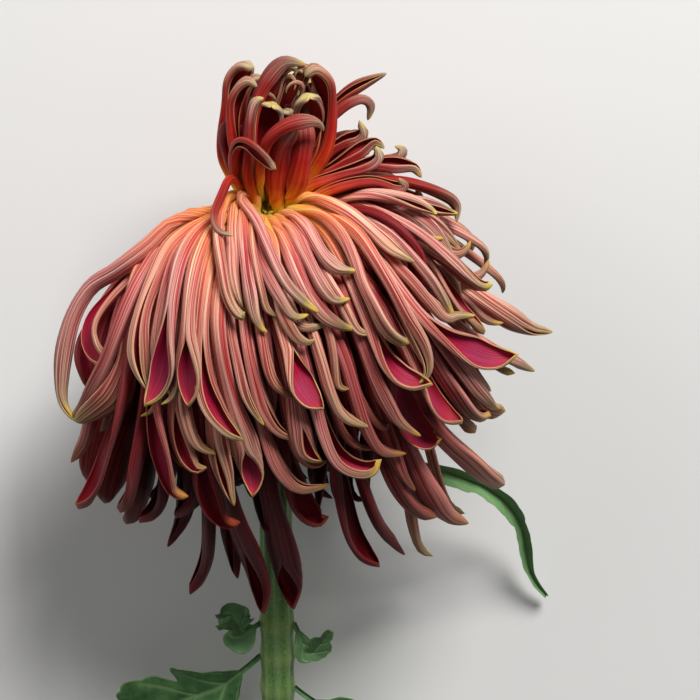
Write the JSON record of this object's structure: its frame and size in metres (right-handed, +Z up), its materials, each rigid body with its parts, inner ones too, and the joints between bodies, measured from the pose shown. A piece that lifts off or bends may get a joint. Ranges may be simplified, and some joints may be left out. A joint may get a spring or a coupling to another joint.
{
  "type": "cut spider chrysanthemum",
  "caption": "Cut spider chrysanthemum lying on its side: a shaggy bloom of long quilled florets with hooked tips on a green leafy stem.",
  "frame": {"origin": "on the surface that the flower lies on, under the middle of its bounding box", "axes": "+Y runs along the stem from the bloom to the cut end, +Z is up; the bloom's top faces -Y"},
  "size_m": [0.1304, 0.2535, 0.0901],
  "materials": {
    "floret": "soft matt petal, salmon pink outside and crimson inside",
    "bract": "matt green with a paper-like edge",
    "stem": "ribbed satin green",
    "leaf": "matt grey-green with raised veins"
  },
  "bodies": {
    "root": {"bloom": "floret", "involucre": "bract", "stem": "stem", "leaf_long": "leaf", "leaf_small_left": "leaf", "leaf_small_right": "leaf", "leaf_low_left": "leaf", "leaf_low_right": "leaf"}
  },
  "joints": []
}
